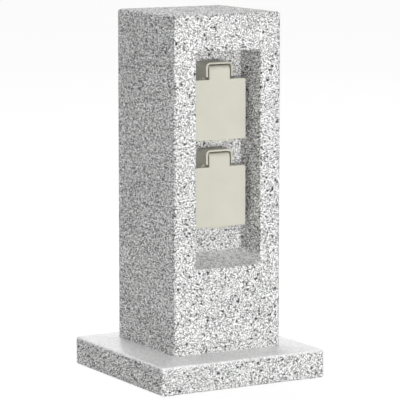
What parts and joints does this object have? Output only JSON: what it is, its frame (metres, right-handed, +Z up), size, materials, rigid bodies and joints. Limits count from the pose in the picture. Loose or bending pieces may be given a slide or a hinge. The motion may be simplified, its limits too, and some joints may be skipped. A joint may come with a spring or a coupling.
{
  "type": "garden socket post",
  "caption": "Square stone-look outdoor post on a wide base, with covered earthed socket outlets in a deep window and a cable gland at the back.",
  "frame": {"origin": "centre of the base on the ground, under its rubber feet", "axes": "+Z up, -Y out of the window with the sockets, +X to the right as seen from in front of the window"},
  "size_m": [0.2, 0.2, 0.395],
  "materials": {
    "granite_cast": "fine white and grey speckle, like cast granite",
    "beige_plastic": "moulded grey beige",
    "pale_plastic": "moulded off-white",
    "dark_plastic": "moulded dark grey",
    "seal_rubber": "soft matt",
    "brass_parts": "bright",
    "steel_parts": "zinc plated",
    "brown_wire": "extruded insulation",
    "blue_wire": "extruded insulation",
    "green_wire": "extruded insulation, green with a yellow stripe"
  },
  "bodies": {
    "post": {"base_plate": "granite_cast", "column_shell": "granite_cast", "foot_gasket": "seal_rubber", "column_inserts": "brass_parts", "column_bolts": "steel_parts", "column_washers": "steel_parts", "bottom_cover": "dark_plastic", "cover_seal": "seal_rubber", "cover_screws": "steel_parts", "rubber_feet": "seal_rubber", "gland_bush": "brass_parts", "gland_washer": "seal_rubber", "gland_body": "dark_plastic", "gland_seal": "seal_rubber", "gland_nut": "dark_plastic", "terminal_block": "pale_plastic", "terminal_sleeves": "brass_parts", "terminal_screws": "steel_parts", "block_screws": "steel_parts", "line_lead": "brown_wire", "earth_lead": "green_wire", "neutral_lead": "blue_wire", "line_loop": "brown_wire", "earth_loop": "green_wire", "neutral_loop": "blue_wire", "panel_inserts": "brass_parts", "upper_socket_frame": "beige_plastic", "upper_socket_well": "beige_plastic", "upper_panel_seal": "seal_rubber", "upper_frame_screws": "steel_parts", "upper_contact_carrier": "pale_plastic", "upper_carrier_screws": "steel_parts", "upper_line_contact": "brass_parts", "upper_neutral_contact": "brass_parts", "upper_earth_clip": "brass_parts", "upper_contact_screws": "steel_parts", "upper_hinge_pin": "steel_parts", "upper_lid_spring": "steel_parts", "lower_socket_frame": "beige_plastic", "lower_socket_well": "beige_plastic", "lower_panel_seal": "seal_rubber", "lower_frame_screws": "steel_parts", "lower_contact_carrier": "pale_plastic", "lower_carrier_screws": "steel_parts", "lower_line_contact": "brass_parts", "lower_neutral_contact": "brass_parts", "lower_earth_clip": "brass_parts", "lower_contact_screws": "steel_parts", "lower_hinge_pin": "steel_parts", "lower_lid_spring": "steel_parts"},
    "upper_lid": {"upper_lid": "beige_plastic", "upper_lid_seal": "seal_rubber"},
    "lower_lid": {"lower_lid": "beige_plastic", "lower_lid_seal": "seal_rubber"}
  },
  "joints": [
    {"name": "upper_lid_hinge", "type": "hinge", "parent": "post", "child": "upper_lid", "pos_m": [0, -0.0396, 0.3333], "axis": [-1, 0, 0], "range_deg": [0, 100], "stiffness_Nm_per_rad": 0.0115, "springref_deg": -49.85, "deforming": ["upper_lid_spring"]},
    {"name": "lower_lid_hinge", "type": "hinge", "parent": "post", "child": "lower_lid", "pos_m": [0, -0.0396, 0.2398], "axis": [-1, 0, 0], "range_deg": [0, 100], "stiffness_Nm_per_rad": 0.0115, "springref_deg": -49.85, "deforming": ["lower_lid_spring"]}
  ]
}
